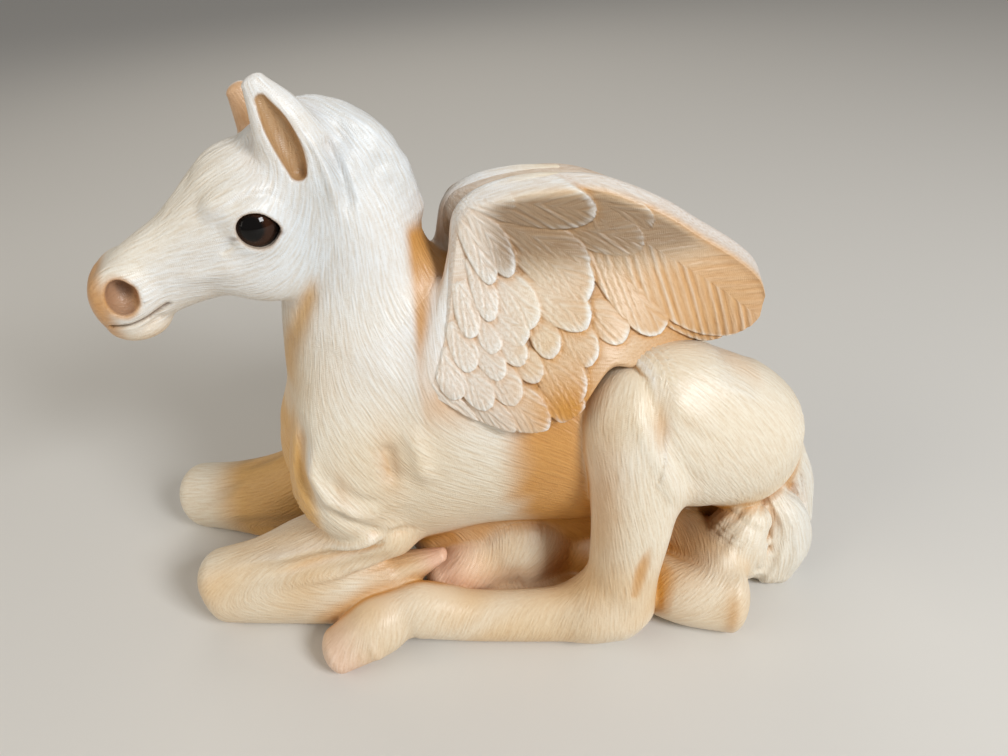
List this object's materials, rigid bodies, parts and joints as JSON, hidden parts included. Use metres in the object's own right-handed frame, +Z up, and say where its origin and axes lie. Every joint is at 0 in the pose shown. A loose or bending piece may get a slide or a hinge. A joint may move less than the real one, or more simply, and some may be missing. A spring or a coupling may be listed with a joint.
{
  "type": "winged foal figurine",
  "caption": "Lying winged foal ornament of pinned castings, with raised feathered wings, folded legs, a curled tail and glass eyes; it rests on its flat underside.",
  "frame": {"origin": "middle of the trunk's flat underside, on the surface that the foal lies on", "axes": "+Z up, +X along the body from the head towards the tail, -Y towards the foal's left side"},
  "size_m": [0.1667, 0.0675, 0.125],
  "materials": {
    "ivory_casting": "hand-painted warm ivory with ochre in the recesses and a soft pearl sheen",
    "white_casting": "hand-painted cool white with brushed hair strokes and a soft pearl sheen",
    "eye_glass": "polished dark brown glass",
    "pin_steel": "plain turned steel"
  },
  "bodies": {
    "root": {"trunk": "ivory_casting", "head_and_neck": "white_casting", "left_wing": "ivory_casting", "right_wing": "ivory_casting", "left_foreleg": "ivory_casting", "right_foreleg": "ivory_casting", "left_hind_leg": "ivory_casting", "right_hind_leg": "ivory_casting", "tail": "ivory_casting", "left_eye": "eye_glass", "right_eye": "eye_glass", "neck_pin": "pin_steel", "left_wing_front_pin": "pin_steel", "left_wing_rear_pin": "pin_steel", "right_wing_front_pin": "pin_steel", "right_wing_rear_pin": "pin_steel", "left_foreleg_pin": "pin_steel", "right_foreleg_pin": "pin_steel", "left_hind_leg_pin": "pin_steel", "right_hind_leg_pin": "pin_steel", "tail_pin": "pin_steel"}
  },
  "joints": []
}
